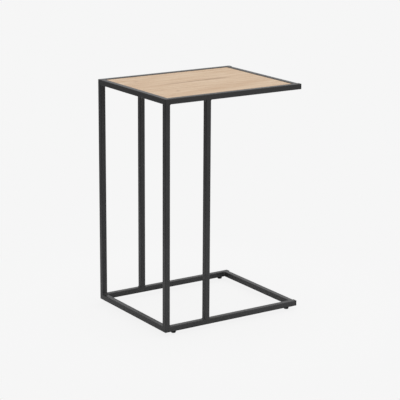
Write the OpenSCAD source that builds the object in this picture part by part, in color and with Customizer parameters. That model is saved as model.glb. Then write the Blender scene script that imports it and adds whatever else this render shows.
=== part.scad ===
// Sofa table, a side table whose base slides under a sofa.
// Two C-shaped side frames of welded square tube are tied by four cross rails.
// An oak-effect panel lies inset in the top frame on welded steel tabs.
// X runs from the closed end to the open end, Y from front to rear, Z up.
// The origin is on the floor, under the middle of the table.

/* [Table] */
// Overall length, from the closed end to the plugs at the open end
table_l = 430; // [360:5:600]
// Overall width, over both side frames
table_w = 345; // [280:5:450]
// Overall height, with the feet screwed home
table_h = 630; // [450:5:750]

/* [Frame] */
// Side of the square tube
tube = 15; // [14:0.5:20]
// Wall of the tube
tube_wall = 1.2; // [1:0.1:1.6]
// Outer corner radius of the tube
tube_r = 2; // [1.8:0.1:2.6]
// Distance from the closed end to the inner posts
inner_post_x = 125; // [80:5:220]
// Leg of the weld fillets
weld_leg = 4; // [2:0.1:5]
// Throat of the weld fillets, from the corner to their hollow face
weld_throat = 2.3; // [1:0.1:2.6]

/* [End plugs] */
// Thickness of the plug head outside the tube
plug_head = 2.5; // [1.5:0.1:4]
// Rounding of the head's outer edge
plug_edge_r = 0.8; // [0.3:0.1:1.4]
// Depth of the plug inside the tube
plug_depth = 12; // [9:0.5:16]
// Side of the plug's square core
plug_core = 8; // [6:0.5:9.5]
// Bore of the hollow core
plug_bore = 5; // [3:0.5:5.5]
// Number of ribs that grip the tube
plug_ribs = 3; // [2:1:4]
// Thickness of one rib
plug_rib_t = 1.2; // [0.8:0.1:1.8]
// Play of the ribs in the tube, on each side
plug_clear = 0.05; // [0.02:0.01:0.1]

/* [Panel] */
// Thickness of the finished panel
panel_t = 12; // [9:0.5:12.5]
// Play between the panel and the frame, on each side
panel_gap = 0.6; // [0.3:0.1:1.5]
// Thickness of the facing sheets
sheet_t = 0.3; // [0.2:0.1:0.8]
// Thickness of the edge banding
edge_t = 0.8; // [0.4:0.1:2]

/* [Panel tabs] */
// Thickness of a tab
tab_t = 1.5; // [1:0.1:2]
// Width of a tab, along its rail
tab_w = 30; // [22:1:44]
// Reach of a tab, inward from its rail
tab_reach = 22; // [18:1:34]
// Corner radius of a tab's free end
tab_r = 5; // [2:0.5:8]
// Distance of the screw hole from the rail
tab_hole_x = 12; // [9:0.5:14]
// Play of the screw in the tab's hole, on each side
tab_hole_clear = 0.5; // [0.2:0.1:0.8]
// Distance of the outer tabs from the cross rails
tab_inset = 50; // [30:5:90]

/* [Panel screws] */
// Shank diameter
screw_d = 3.5; // [3:0.5:4.5]
// Length under the head
screw_l = 10.5; // [8:0.5:10.5]
// Head diameter
screw_head_d = 7; // [6:0.5:8.5]
// Head height
screw_head_t = 2.3; // [1.6:0.1:3]
// Play of the shank in its hole, on each side
screw_clear = 0.05; // [0.02:0.01:0.3]
// Height of the cone at the screw's tip
screw_tip = 2; // [1:0.1:3]

/* [Levelling feet] */
// Height of a foot pad, from the floor to the tube
foot_h = 5; // [5:0.5:12]
// Diameter of the pad at the top
pad_d = 13.5; // [12:0.5:15]
// Height of the pad's straight upper rim
pad_rim = 2.2; // [1.5:0.1:3]
// Diameter of the pad's flat underside
pad_base_d = 11.5; // [8:0.5:11.5]
// Distance of the feet from the two ends of the table
foot_inset = 30; // [24:1:60]
// Thread diameter of the stud
thread_d = 5; // [4:0.5:5.5]
// Play between the stud and its nut, on each side
thread_clear = 0.05; // [0.02:0.01:0.1]
// Length of the stud above the pad
stud_l = 12.5; // [9:0.5:12.5]
// Width across the corners of the stud's moulded-in hexagon
stud_hex_d = 7.4; // [6.5:0.1:8]
// Thickness of the hexagon
stud_hex_t = 1.6; // [1:0.1:2]
// Height of the hexagon above the floor
stud_hex_z = 1.8; // [1.2:0.1:2.2]

/* [Rivet nuts] */
// Body diameter
nut_d = 7; // [6.5:0.1:7.4]
// Head diameter
nut_head_d = 8.4; // [8:0.1:9.4]
// Head thickness
nut_head_t = 0.5; // [0.4:0.1:0.8]
// Length of the body inside the tube
nut_l = 8.5; // [7:0.5:9]
// Diameter of the bulge that grips the wall
nut_bulge_d = 9.4; // [8.5:0.1:10]
// Height of the bulge
nut_bulge_t = 2.2; // [1.6:0.1:2.8]
// Play of the nut in its hole, on each side
nut_clear = 0.05; // [0.02:0.01:0.15]
// Play between the nut's head and the recess in the pad
pad_clear = 0.3; // [0.2:0.1:0.5]

/* [Hidden] */
$fn = 48;
eps = 0.01;

// How far a cutting solid runs on past the face that it opens
over = 1;

// Size of the blocks that cut the mitres
cut = 3*tube;

x_closed = -table_l/2;
x_open = table_l/2 - plug_head;
z_low = foot_h;
z_top = table_h;
rail_low_z = z_low + tube/2;
rail_top_z = z_top - tube/2;
side_y = table_w/2 - tube/2;
inside_y = table_w/2 - tube;
post_x = x_closed + tube/2;
inner_x = x_closed + inner_post_x + tube/2;
flat_w = tube - 2*tube_r;
bore_w = tube - 2*tube_wall;

// How far a cut end reaches round the rounded edge of the rail that it meets.
// It stops short of the edge's whole radius, so its lips have some thickness.
cope_short = 0.3;
cope = tube_r - cope_short;

// Least hollow of a weld's face
weld_sag = 0.05;

// The well for the panel, between the inner faces of the top frame
well_x0 = x_closed + tube;
well_x1 = x_open - tube;
panel_x0 = well_x0 + panel_gap;
panel_x1 = well_x1 - panel_gap;
panel_l = panel_x1 - panel_x0;
panel_w = 2*(inside_y - panel_gap);
panel_x = (panel_x0 + panel_x1)/2;
tab_z = z_top - tube;
panel_z = tab_z + tab_t;
core_l = panel_l - 2*edge_t;
core_w = panel_w - 2*edge_t;
core_t = panel_t - 2*sheet_t;

// Each tab: the middle of its root on the rail's inner face, and its turn
TABS = [
    [well_x0 + tab_inset, -inside_y, 0],
    [well_x1 - tab_inset, -inside_y, 0],
    [well_x0 + tab_inset, inside_y, 180],
    [well_x1 - tab_inset, inside_y, 180],
    [well_x0, 0, -90],
    [well_x1, 0, 90]
];

foot_x = [x_closed + foot_inset, table_l/2 - foot_inset];

// Radii of the arcs that draw in the pad's lower edge and round a screw's head
pad_draw = (pad_d - pad_base_d)/2;
pad_curve_h = foot_h - pad_rim;
pad_curve_r = (pad_draw*pad_draw + pad_curve_h*pad_curve_h)/(2*pad_draw);
dome_r = (screw_head_d*screw_head_d/4 + screw_head_t*screw_head_t)/(2*screw_head_t);
recess_d = nut_head_d + 2*pad_clear;
recess_t = nut_head_t + pad_clear;

STEEL = "#2f3033";
PLASTIC = "#141415";
ZINC = "#b9bcc0";
OAK = "#d6bd9f";
BOARD = "#b59a76";
BACKING = "#cdbba2";

// A square of side s with corners of radius r
module round_square(s, r) {
    square([s, s - 2*r], center = true);
    square([s - 2*r, s], center = true);
    for (x = [-1, 1], y = [-1, 1])
        translate([x*(s/2 - r), y*(s/2 - r)])
            circle(r = r);
}

// The tube's section, or its outer outline alone when solid
module tube_section(solid = false) {
    difference() {
        round_square(tube, tube_r);
        if (!solid)
            round_square(bore_w, tube_r - tube_wall);
    }
}

// A straight length of tube along X, Y or Z, between two stations
module tube_x(x0, x1, solid = false) {
    translate([x0, 0, 0])
        rotate([0, 90, 0])
            linear_extrude(x1 - x0)
                tube_section(solid);
}

module tube_y(y0, y1, solid = false) {
    translate([0, y0, 0])
        rotate([-90, 0, 0])
            linear_extrude(y1 - y0)
                tube_section(solid);
}

module tube_z(z0, z1, solid = false) {
    translate([0, 0, z0])
        linear_extrude(z1 - z0)
            tube_section(solid);
}

// Everything below (way = -1) or above (way = 1) the plane of a 45 degree mitre
module mitre_cut(z, turn, way) {
    translate([x_closed, 0, z])
        rotate([0, turn, 0])
            translate([-cut, -cut, way < 0 ? -2*cut : 0])
                cube([3*cut, 2*cut, 2*cut]);
}

// The sliver that is ground off a mitred corner, at the top (way = 1) or bottom
module ground_corner(z, way) {
    translate([x_closed, 0, z])
        mirror([0, 0, way < 0 ? 1 : 0])
            rotate([90, 0, 0])
                linear_extrude(2*tube, center = true)
                    difference() {
                        translate([-over, -tube_r])
                            square([tube_r + over, tube_r + over]);
                        translate([tube_r, -tube_r])
                            circle(r = tube_r);
                    }
}

// One C-shaped side frame, drawn about its own middle plane
module upper_rail(solid = false) {
    difference() {
        translate([0, 0, rail_top_z])
            tube_x(x_closed, x_open, solid);
        mitre_cut(z_top, 45, -1);
        ground_corner(z_top, 1);
    }
}

module lower_rail(solid = false) {
    difference() {
        translate([0, 0, rail_low_z])
            tube_x(x_closed, x_open, solid);
        mitre_cut(z_low, -45, 1);
        ground_corner(z_low, -1);
        if (!solid)
            for (x = foot_x)
                translate([x, 0, z_low - eps])
                    cylinder(d = nut_d + 2*nut_clear, h = 2*tube_wall);
    }
}

module corner_post(solid = false) {
    difference() {
        translate([post_x, 0, 0])
            tube_z(z_low, z_top, solid);
        mitre_cut(z_top, 45, 1);
        mitre_cut(z_low, -45, -1);
        ground_corner(z_top, 1);
        ground_corner(z_low, -1);
    }
}

// The inner post's ends are cut to the round edges of the rails
module inner_post() {
    difference() {
        translate([inner_x, 0, 0])
            tube_z(z_low + tube - cope, z_top - tube + cope);
        translate([0, 0, rail_low_z])
            tube_x(x_closed, x_open, solid = true);
        translate([0, 0, rail_top_z])
            tube_x(x_closed, x_open, solid = true);
    }
}

// What the side frames take from the ends of the cross rails
module closed_end_envelope() {
    for (y = [-side_y, side_y])
        translate([0, y, 0]) {
            upper_rail(solid = true);
            lower_rail(solid = true);
            corner_post(solid = true);
        }
}

module open_end_envelope(z) {
    for (y = [-side_y, side_y])
        translate([0, y, z])
            tube_x(x_open - 2*tube, x_open + tube, solid = true);
}

// A cross rail, cut at both ends to the round edges of the side frames
module cross_rail(x, z) {
    difference() {
        translate([x, 0, z])
            tube_y(-inside_y - cope, inside_y + cope);
        children();
    }
}

module closed_end_rail(z) {
    cross_rail(post_x, z)
        closed_end_envelope();
}

module open_end_rail(z) {
    cross_rail(x_open - tube/2, z)
        open_end_envelope(z);
}

module place_side(way) {
    translate([0, way*side_y, 0])
        children();
}

// A weld fillet along Z, filling the corner at the origin, with a hollow face
module bead(length) {
    chord_r = weld_leg/sqrt(2);
    sag = max(weld_sag, chord_r - weld_throat);
    face_r = (chord_r*chord_r + sag*sag)/(2*sag);
    face_c = (chord_r - sag + face_r)/sqrt(2);
    translate([0, 0, -length/2])
        linear_extrude(length)
            difference() {
                polygon([[0, 0], [weld_leg, 0], [0, weld_leg]]);
                translate([face_c, face_c])
                    circle(r = face_r);
            }
}

// A bead across a side frame, in the corner that opens to sx and sz
module bead_across(x, z, sx, sz) {
    translate([x, 0, z])
        mirror([sx < 0 ? 1 : 0, 0, 0])
            mirror([0, 0, sz < 0 ? 1 : 0])
                rotate([90, 0, 0])
                    bead(flat_w);
}

module side_welds() {
    for (s = [-1, 1]) {
        bead_across(inner_x + s*tube/2, z_low + tube, s, 1);
        bead_across(inner_x + s*tube/2, z_top - tube, s, -1);
    }
    bead_across(x_closed + tube, z_low + tube, 1, 1);
    bead_across(x_closed + tube, z_top - tube, 1, -1);
}

// A bead along X where a closed end cross rail meets a corner post
module bead_under(way, z, sz) {
    translate([post_x, way*inside_y, z])
        mirror([0, way > 0 ? 1 : 0, 0])
            mirror([0, 0, sz < 0 ? 1 : 0])
                rotate([90, 0, 90])
                    bead(flat_w);
}

// An upright bead where a base cross rail meets a lower rail
module bead_upright(x, way, sx) {
    translate([x, way*inside_y, rail_low_z])
        mirror([sx < 0 ? 1 : 0, 0, 0])
            mirror([0, way > 0 ? 1 : 0, 0])
                bead(flat_w);
}

module top_cross_beads() {
    for (way = [-1, 1])
        bead_under(way, z_top - tube, -1);
}

module base_cross_beads() {
    for (way = [-1, 1]) {
        bead_under(way, z_low + tube, 1);
        bead_upright(x_closed + tube, way, 1);
        bead_upright(x_open - tube, way, -1);
    }
}

// The head's outline seen from the side, with its outer edge rounded
module plug_side_outline() {
    translate([0, -tube/2])
        square([plug_head - plug_edge_r, tube]);
    translate([0, -tube/2 + plug_edge_r])
        square([plug_head, tube - 2*plug_edge_r]);
    for (s = [-1, 1])
        translate([plug_head - plug_edge_r, s*(tube/2 - plug_edge_r)])
            circle(r = plug_edge_r);
}

module plug_head_solid() {
    intersection() {
        tube_x(0, plug_head, solid = true);
        translate([0, 0, -tube])
            linear_extrude(2*tube)
                plug_side_outline();
        translate([0, tube, 0])
            rotate([90, 0, 0])
                linear_extrude(2*tube)
                    plug_side_outline();
    }
}

// Ribbed plug for the open end of a rail, with its head outside the tube
module end_plug() {
    rib_pitch = (plug_depth - plug_rib_t)/plug_ribs;
    rib_side = bore_w - 2*plug_clear;
    difference() {
        union() {
            plug_head_solid();
            translate([-plug_depth, -plug_core/2, -plug_core/2])
                cube([plug_depth + eps, plug_core, plug_core]);
            for (i = [1 : plug_ribs])
                translate([-i*rib_pitch - plug_rib_t/2, 0, 0])
                    rotate([0, 90, 0])
                        linear_extrude(plug_rib_t)
                            round_square(rib_side, tube_r - tube_wall);
        }
        translate([-plug_depth - over, 0, 0])
            rotate([0, 90, 0])
                cylinder(d = plug_bore, h = plug_depth + over);
    }
}

module place_plug(way, z) {
    translate([x_open, way*side_y, z])
        end_plug();
}

// A tab with its root at the origin and its free end toward +Y
module tab_blank() {
    translate([-tab_w/2, -tube_r])
        square([tab_w, tube_r + tab_reach - tab_r]);
    translate([-tab_w/2 + tab_r, 0])
        square([tab_w - 2*tab_r, tab_reach]);
    for (s = [-1, 1])
        translate([s*(tab_w/2 - tab_r), tab_reach - tab_r])
            circle(r = tab_r);
}

// The root follows the round lower edge of its rail, flush with its underside
module tab() {
    difference() {
        linear_extrude(tab_t)
            difference() {
                tab_blank();
                translate([0, tab_hole_x])
                    circle(d = screw_d + 2*tab_hole_clear);
            }
        translate([0, -tube/2, tube/2])
            tube_x(-tab_w, tab_w, solid = true);
    }
}

module place_tab(i) {
    translate([TABS[i][0], TABS[i][1], tab_z])
        rotate([0, 0, TABS[i][2]])
            children();
}

module at_screws() {
    for (i = [0 : len(TABS) - 1])
        place_tab(i)
            translate([0, tab_hole_x, 0])
                children();
}

module screw_holes() {
    at_screws()
        translate([0, 0, tab_t - eps])
            cylinder(d = screw_d + 2*screw_clear, h = screw_l - tab_t + screw_clear + eps);
}

module core_block(z, t) {
    translate([panel_x - core_l/2, -core_w/2, panel_z + z])
        cube([core_l, core_w, t]);
}

// Pan head wood screw, its domed head below the origin
module screw() {
    rotate_extrude() {
        polygon([
            [0, 0],
            [screw_d/2, 0],
            [screw_d/2, screw_l - screw_tip],
            [0, screw_l]
        ]);
        intersection() {
            translate([0, dome_r - screw_head_t])
                circle(r = dome_r);
            translate([0, -screw_head_t])
                square([screw_head_d/2, screw_head_t]);
        }
    }
}

// Rivet nut seen in section: head, body through the wall, bulge and sleeve
module nut_profile() {
    bore = thread_d/2;
    body = nut_d/2;
    bulge = nut_bulge_d/2;
    bulge_rim = nut_bulge_t/3;
    polygon([
        [bore, -nut_head_t],
        [nut_head_d/2, -nut_head_t],
        [nut_head_d/2, 0],
        [body, 0],
        [body, tube_wall],
        [bulge, tube_wall],
        [bulge, tube_wall + bulge_rim],
        [body, tube_wall + nut_bulge_t],
        [body, nut_l],
        [bore, nut_l]
    ]);
}

// Round pad seen in section, with its lower edge drawn in by an arc
module pad_profile() {
    square([pad_base_d/2, foot_h]);
    translate([0, pad_curve_h])
        square([pad_d/2, pad_rim]);
    intersection() {
        translate([pad_d/2 - pad_curve_r, pad_curve_h])
            circle(r = pad_curve_r);
        square([pad_d/2, foot_h]);
    }
}

module stud() {
    translate([0, 0, stud_hex_z])
        cylinder(d = stud_hex_d, h = stud_hex_t, $fn = 6);
    translate([0, 0, stud_hex_z])
        cylinder(d = thread_d - 2*thread_clear, h = foot_h + stud_l - stud_hex_z);
}

module pad() {
    difference() {
        rotate_extrude()
            pad_profile();
        translate([0, 0, foot_h - recess_t])
            cylinder(d = recess_d, h = recess_t + over);
        stud();
    }
}

module place_foot(end, way) {
    translate([foot_x[end], way*side_y, 0])
        children();
}

module frame_colour() {
    color(STEEL)
        children();
}

module front_upper_rail() frame_colour() place_side(-1) upper_rail();
module front_lower_rail() frame_colour() place_side(-1) lower_rail();
module front_corner_post() frame_colour() place_side(-1) corner_post();
module front_inner_post() frame_colour() place_side(-1) inner_post();
module rear_upper_rail() frame_colour() place_side(1) upper_rail();
module rear_lower_rail() frame_colour() place_side(1) lower_rail();
module rear_corner_post() frame_colour() place_side(1) corner_post();
module rear_inner_post() frame_colour() place_side(1) inner_post();

module closed_end_top_rail() frame_colour() closed_end_rail(rail_top_z);
module closed_end_base_rail() frame_colour() closed_end_rail(rail_low_z);
module open_end_top_rail() frame_colour() open_end_rail(rail_top_z);
module open_end_base_rail() frame_colour() open_end_rail(rail_low_z);

module front_side_welds() frame_colour() place_side(-1) side_welds();
module rear_side_welds() frame_colour() place_side(1) side_welds();
module top_cross_welds() frame_colour() top_cross_beads();
module base_cross_welds() frame_colour() base_cross_beads();

module front_upper_plug() color(PLASTIC) place_plug(-1, rail_top_z);
module front_lower_plug() color(PLASTIC) place_plug(-1, rail_low_z);
module rear_upper_plug() color(PLASTIC) place_plug(1, rail_top_z);
module rear_lower_plug() color(PLASTIC) place_plug(1, rail_low_z);

module panel_tab(i) frame_colour() place_tab(i) tab();

module panel_core() {
    color(BOARD)
        difference() {
            core_block(sheet_t, core_t);
            screw_holes();
        }
}

module panel_top_sheet() {
    color(OAK)
        core_block(panel_t - sheet_t, sheet_t);
}

module panel_under_sheet() {
    color(BACKING)
        difference() {
            core_block(0, sheet_t);
            screw_holes();
        }
}

// Edge banding: the long strips cover the ends of the short ones
module long_edge(way) {
    color(OAK)
        translate([panel_x0, way < 0 ? -panel_w/2 : panel_w/2 - edge_t, panel_z])
            cube([panel_l, edge_t, panel_t]);
}

module short_edge(x) {
    color(OAK)
        translate([x, -core_w/2, panel_z])
            cube([edge_t, core_w, panel_t]);
}

module panel_screws() {
    color(ZINC)
        at_screws()
            screw();
}

module rivet_nut(end, way) {
    color(ZINC)
        place_foot(end, way)
            translate([0, 0, z_low])
                rotate_extrude()
                    nut_profile();
}

module foot_pad(end, way) {
    color(PLASTIC)
        place_foot(end, way)
            pad();
}

module foot_stud(end, way) {
    color(ZINC)
        place_foot(end, way)
            stud();
}

front_upper_rail();
front_lower_rail();
front_corner_post();
front_inner_post();
rear_upper_rail();
rear_lower_rail();
rear_corner_post();
rear_inner_post();
closed_end_top_rail();
open_end_top_rail();
closed_end_base_rail();
open_end_base_rail();
front_side_welds();
rear_side_welds();
top_cross_welds();
base_cross_welds();
front_upper_plug();
front_lower_plug();
rear_upper_plug();
rear_lower_plug();
panel_tab(0);  // tab_front_closed
panel_tab(1);  // tab_front_open
panel_tab(2);  // tab_rear_closed
panel_tab(3);  // tab_rear_open
panel_tab(4);  // tab_closed_end
panel_tab(5);  // tab_open_end
panel_core();
panel_top_sheet();
panel_under_sheet();
long_edge(-1);  // panel_edge_front
long_edge(1);  // panel_edge_rear
short_edge(panel_x0);  // panel_edge_closed
short_edge(panel_x1 - edge_t);  // panel_edge_open
panel_screws();
rivet_nut(0, -1);  // nut_front_closed
rivet_nut(1, -1);  // nut_front_open
rivet_nut(0, 1);  // nut_rear_closed
rivet_nut(1, 1);  // nut_rear_open
foot_pad(0, -1);  // pad_front_closed
foot_pad(1, -1);  // pad_front_open
foot_pad(0, 1);  // pad_rear_closed
foot_pad(1, 1);  // pad_rear_open
foot_stud(0, -1);  // stud_front_closed
foot_stud(1, -1);  // stud_front_open
foot_stud(0, 1);  // stud_rear_closed
foot_stud(1, 1);  // stud_rear_open
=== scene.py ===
"""Sofa table: finer pieces, materials and a studio for the packed table.

The table is a C-shaped frame of black powder-coated square tube. An oak-effect panel lies
inset in its top, on welded tabs, and four levelling feet stand under its base. X runs from
the closed end to the open end, Y from front to rear and Z up. Lengths are in metres.
"""

import math
from functools import partial

import bmesh
import bpy
from mathutils import Matrix, Vector


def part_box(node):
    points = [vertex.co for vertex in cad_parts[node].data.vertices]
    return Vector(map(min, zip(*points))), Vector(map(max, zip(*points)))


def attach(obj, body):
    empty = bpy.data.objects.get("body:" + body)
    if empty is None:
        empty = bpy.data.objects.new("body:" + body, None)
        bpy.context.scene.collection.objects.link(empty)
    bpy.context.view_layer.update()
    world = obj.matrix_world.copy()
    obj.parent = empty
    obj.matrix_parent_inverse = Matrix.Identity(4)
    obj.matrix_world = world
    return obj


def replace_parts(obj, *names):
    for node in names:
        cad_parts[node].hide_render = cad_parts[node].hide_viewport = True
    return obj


bl_info = {
    "name": "Sofa table",
    "version": (1, 0, 0),
    "blender": (4, 5, 0),
    "location": "View3D > Sidebar > Sofa table",
    "description": "Welds, fasteners, feet, panel edges, materials and a studio for a sofa table",
    "category": "Add Mesh",
}

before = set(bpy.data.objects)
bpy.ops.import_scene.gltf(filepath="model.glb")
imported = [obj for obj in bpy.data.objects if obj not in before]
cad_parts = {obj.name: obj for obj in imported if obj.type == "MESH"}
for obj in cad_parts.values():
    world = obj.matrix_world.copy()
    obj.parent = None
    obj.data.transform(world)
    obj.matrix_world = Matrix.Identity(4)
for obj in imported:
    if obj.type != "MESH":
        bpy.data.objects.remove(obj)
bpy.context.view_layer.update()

MM = 0.001
FRAME_BODY = "frame"
CORNERS = ("front_closed", "front_open", "rear_closed", "rear_open")
SIDES = ("front", "rear")
TUBES = [f"{side}_{part}" for side in SIDES
         for part in ("upper_rail", "lower_rail", "corner_post", "inner_post")]
TUBES += [f"{end}_end_{level}_rail" for end in ("closed", "open") for level in ("top", "base")]
TABS = [f"tab_{place}" for place in (*CORNERS, "closed_end", "open_end")]
PLUGS = [f"{side}_{level}_plug" for side in SIDES for level in ("upper", "lower")]

X, Y, Z = Vector((1, 0, 0)), Vector((0, 1, 0)), Vector((0, 0, 1))

# The camera's sensor width in millimetres, and the nearest and farthest distance that it sees
SENSOR_WIDTH = 36
CLIP_START, CLIP_END = 0.1, 200
# An edge that turns by more than this stays sharp: on a weld, on a screw, and on a stud or an edge band
WELD_SHARP, SCREW_SHARP, BAR_SHARP = math.radians(40), math.radians(35), math.radians(50)
# The range that holds most of a noise's values
NOISE_SPAN = {"From Min": 0.3, "From Max": 0.7}


def linear(hex_colour):
    """The linear colour, with alpha 1, of an sRGB hex value."""
    parts = [int(hex_colour[i:i + 2], 16) / 255 for i in (1, 3, 5)]
    return tuple(p / 12.92 if p <= 0.04045 else ((p + 0.055) / 1.055) ** 2.4 for p in parts) + (1.0,)


def tinted(colour, factor):
    """A colour made darker or lighter by a factor."""
    return tuple(factor * part for part in colour[:3]) + (1.0,)


def per_metre(*sizes):
    """Pattern scale that makes one feature of each size: along X, Y and Z, or all three alike."""
    sizes = sizes * 3 if len(sizes) == 1 else sizes
    return tuple(1 / size for size in sizes)


def colour_property(name, description, hex_colour):
    return bpy.props.FloatVectorProperty(
        name=name, description=description, subtype="COLOR", size=4, min=0, max=1,
        default=linear(hex_colour),
    )


def length_property(name, description, millimetres):
    return bpy.props.FloatProperty(
        name=name, description=description, unit="LENGTH", subtype="DISTANCE", min=0,
        precision=5, default=millimetres * MM,
    )


def angle_property(name, description, degrees):
    return bpy.props.FloatProperty(
        name=name, description=description, subtype="ANGLE", default=math.radians(degrees))


class SteelSettings(bpy.types.PropertyGroup):
    """The coated tubes and their welds"""

    coat: colour_property("Powder coat", "Colour of the powder coat", "#333334")
    coat_grain: length_property("Coat grain", "Width of one bump of the coat's fine texture", 1.1)
    coat_peel: length_property("Orange peel", "Width of one soft wave under the fine texture", 5)
    ripple_pitch: length_property("Weld ripple pitch", "Distance between the ripples of a weld", 1.3)
    ripple_height: length_property("Weld ripple height", "Height of the ripples of a weld", 0.22)
    seam_width: length_property("Tab seam width", "Width of the weld seam under each tab", 3.2)
    seam_height: length_property("Tab seam height", "Height of the weld seam under each tab", 0.6)


class PanelSettings(bpy.types.PropertyGroup):
    """The oak-effect panel and its screws"""

    oak_light: colour_property("Oak, light", "Lighter tone of the printed oak", "#E0C8AC")
    oak_dark: colour_property("Oak, dark", "Darker tone of the printed oak", "#C4A281")
    oak_pore: colour_property("Oak pores", "Tone of the pores, the knots and the dark streak", "#97755A")
    edge_bevel: length_property("Edge rounding", "Rounding of the edge banding's upper edges", 0.35)
    recess_width: length_property("Cross recess width", "Width of one slot of the screw's cross", 1.0)
    recess_length: length_property("Cross recess length", "Length of one slot of the screw's cross", 4.2)
    recess_depth: length_property("Cross recess depth", "Depth of the screw's cross", 1.5)
    screw_pitch: length_property("Screw thread pitch", "Pitch of the wood screw's thread", 1.6)
    screw_depth: length_property("Screw thread depth", "Depth of the wood screw's thread", 0.55)


class FootSettings(bpy.types.PropertyGroup):
    """The levelling feet"""

    plastic: colour_property("Moulded plastic", "Colour of the foot pads and the end plugs", "#131415")
    zinc: colour_property("Zinc plating", "Colour of the zinc-plated steel", "#C3C6CA")
    thread_pitch: length_property("Stud thread pitch", "Pitch of the stud's thread", 0.8)
    thread_depth: length_property("Stud thread depth", "Depth of the stud's thread", 0.45)


class StudioSettings(bpy.types.PropertyGroup):
    """Backdrop, light and camera"""

    backdrop: colour_property("Backdrop", "Colour of the backdrop and the floor", "#F6F6F6")
    shadow: bpy.props.FloatProperty(
        name="Floor shadow", description="How much of the table's shadow the floor shows",
        subtype="FACTOR", min=0, max=1, default=0.12,
    )
    yaw: angle_property("Camera yaw", "Turn of the camera round the table, from the front", 33.39)
    pitch: angle_property("Camera pitch", "Height of the camera above the horizon", 14.55)
    roll: angle_property("Camera roll", "Turn of the camera about its own line of sight", 0.37)
    distance: length_property("Camera distance", "Distance from the camera to its target", 4216)
    lens: bpy.props.FloatProperty(
        name="Lens", description=f"Focal length of the camera, for a {SENSOR_WIDTH} mm sensor",
        unit="CAMERA", min=10, default=137.87,
    )
    target: bpy.props.FloatVectorProperty(
        name="Camera target", description="Point that the camera looks at",
        subtype="TRANSLATION", size=3, default=(7.0 * MM, 2.5 * MM, 298.3 * MM),
    )


def add(tree, kind, *inputs, **settings):
    """Adds a node, with its settings and its links.

    Inputs come in the order of their sockets, or in one dictionary by the sockets' names or
    places. Each is a value, a socket, a node whose first output in use is meant, or a list of these.
    """
    made = tree.nodes.new(kind)
    for name, value in settings.items():
        setattr(made, name, value)
    named = inputs[0] if inputs and isinstance(inputs[0], dict) else dict(enumerate(inputs))
    for name, value in named.items():
        socket = made.inputs[name] if isinstance(name, int) else next(
            s for s in made.inputs if s.enabled and s.name == name)
        for item in value if isinstance(value, list) else [value]:
            if isinstance(item, bpy.types.Node):
                item = next(s for s in item.outputs if s.enabled)
            if isinstance(item, bpy.types.NodeSocket):
                tree.links.new(item, socket)
            else:
                socket.default_value = item
    return made


def new_material(name):
    """A material, what adds a node to its empty tree, and the coordinates of the object that wears it."""
    material = bpy.data.materials.new(name)
    material.use_nodes = True
    material.node_tree.nodes.clear()
    put = partial(add, material.node_tree)
    return material, put, put("ShaderNodeTexCoord").outputs["Object"]


def finish_material(material, relief, surface):
    """Gives a material its relief and its shader, with these inputs for each."""
    put = partial(add, material.node_tree)
    bump = put("ShaderNodeBump", relief)
    shader = put("ShaderNodeBsdfPrincipled", {**surface, "Normal": bump})
    put("ShaderNodeOutputMaterial", shader)
    return material


def shared_material(make, *values, **more):
    """The material that a function makes, made on its first use."""
    return bpy.data.materials.get(more.get("name", make.__name__)) or make(*values, **more)


def new_object(name, data):
    """An object that shows the data, in the scene."""
    made = bpy.data.objects.new(name, data)
    bpy.context.scene.collection.objects.link(made)
    return made


# The powder coat's cloud: its width, and how far it turns the colour either way
CLOUD_WIDTH, CLOUD_SHADE = 70 * MM, 0.14
# Weight of the orange peel in the coat's relief, beside the fine grain
PEEL_WEIGHT = 0.6


def powder_coated_steel(settings):
    """Polyester powder coat on steel tube, sprayed dry and stoved.

    The cured film has a fine hard texture over a soft orange peel. It is nearly black seen
    square on, and turns grey where a surface is seen at a low angle. The real grain is about
    0.3 mm; it is drawn coarser, so that it shows.
    """
    material, put, place = new_material("powder_coated_steel")
    noises = []
    for width, detail, roughness in (
            (settings.coat_grain, 2.0, 0.55), (settings.coat_peel, 1.0, 0.5), (CLOUD_WIDTH, 3.0, 0.5)):
        scaled = put("ShaderNodeMapping", {"Vector": place, "Scale": per_metre(width)})
        noises.append(put("ShaderNodeTexNoise", {
            "Vector": scaled, "Scale": 1.0, "Detail": detail, "Roughness": roughness}))
    grain, peel, cloud = noises
    shade = put("ShaderNodeMapRange", {"Value": cloud, **NOISE_SPAN})
    colour = put("ShaderNodeMix", {
        "Factor": shade, "A": tinted(settings.coat, 1 - CLOUD_SHADE),
        "B": tinted(settings.coat, 1 + CLOUD_SHADE)}, data_type="RGBA")
    rough = put("ShaderNodeMapRange", {"Value": grain, **NOISE_SPAN, "To Min": 0.36, "To Max": 0.46})
    height = put("ShaderNodeMath", peel, PEEL_WEIGHT, grain, operation="MULTIPLY_ADD")
    return finish_material(
        material, {"Height": height, "Strength": 0.5, "Distance": 0.12 * MM},
        {"Base Color": colour, "Roughness": rough, "IOR": 1.52})


# The print's grain: feature length and width, detail and roughness
OAK_GRAIN = {
    "broad": (190 * MM, 22 * MM, 3.0, 0.55),
    "streaks": (85 * MM, 2.6 * MM, 4.0, 0.62),
    "fine": (30 * MM, 0.8 * MM, 2.0, 0.6),
    "pores": (7 * MM, 0.7 * MM, 1.0, 0.5),
}
# How strongly each grain turns the light tone to the dark one
OAK_TONE = {"broad": 1.5, "streaks": 2.0, "fine": 1.0}
# The print's long soft waves: their length and width, their share of the tone, and the tone without them
WAVE_SIZE = (420 * MM, 42 * MM, 42 * MM)
WAVE_TONE, BASE_TONE = 0.22, 0.31
# One long dark streak: middle, slope, half length and half width
OAK_STREAK = {"x": 8 * MM, "y": 19 * MM, "slope": 0.02, "length": 125 * MM, "width": 15 * MM}
# Shares of the streak's width and length over which it stays at its darkest
STREAK_CORE, STREAK_BODY = 0.1, 0.55
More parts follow.
